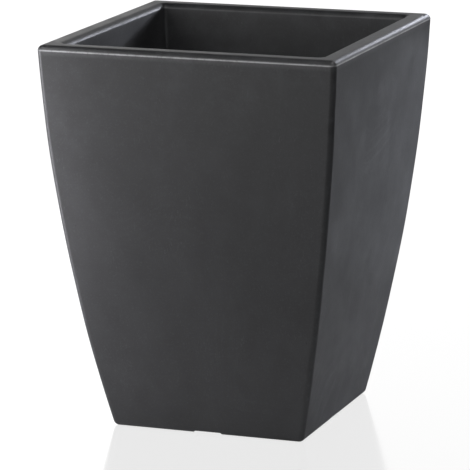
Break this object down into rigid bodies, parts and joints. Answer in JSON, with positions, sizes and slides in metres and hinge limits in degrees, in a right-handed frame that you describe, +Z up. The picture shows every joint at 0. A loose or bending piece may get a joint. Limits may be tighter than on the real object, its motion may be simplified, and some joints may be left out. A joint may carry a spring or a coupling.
{
  "type": "tapered square planter box",
  "caption": "Tall square planter with double walls that bow and taper to a narrow base, and push-in drain plugs in the floor.",
  "frame": {"origin": "centre of the underside, on the surface that the planter stands on", "axes": "+Z up, X and Y square to the sides, with the front side facing -Y"},
  "size_m": [0.3992, 0.3992, 0.51],
  "materials": {
    "shell_resin": "matte anthracite, fine moulded grain",
    "plug_resin": "satin dark grey",
    "seal_rubber": "soft black"
  },
  "bodies": {
    "planter": {"planter_shell": "shell_resin", "vent_cap": "plug_resin"},
    "plug_front": {"drain_plug_front": "plug_resin", "o_ring_front": "seal_rubber"},
    "plug_right": {"drain_plug_right": "plug_resin", "o_ring_right": "seal_rubber"},
    "plug_back": {"drain_plug_back": "plug_resin", "o_ring_back": "seal_rubber"},
    "plug_left": {"drain_plug_left": "plug_resin", "o_ring_left": "seal_rubber"}
  },
  "joints": [
    {"name": "lift_plug_front", "type": "slide", "parent": "planter", "child": "plug_front", "axis": [0, 0, 1], "range_m": [0, 0.52]},
    {"name": "lift_plug_right", "type": "slide", "parent": "planter", "child": "plug_right", "axis": [0, 0, 1], "range_m": [0, 0.52]},
    {"name": "lift_plug_back", "type": "slide", "parent": "planter", "child": "plug_back", "axis": [0, 0, 1], "range_m": [0, 0.52]},
    {"name": "lift_plug_left", "type": "slide", "parent": "planter", "child": "plug_left", "axis": [0, 0, 1], "range_m": [0, 0.52]}
  ]
}
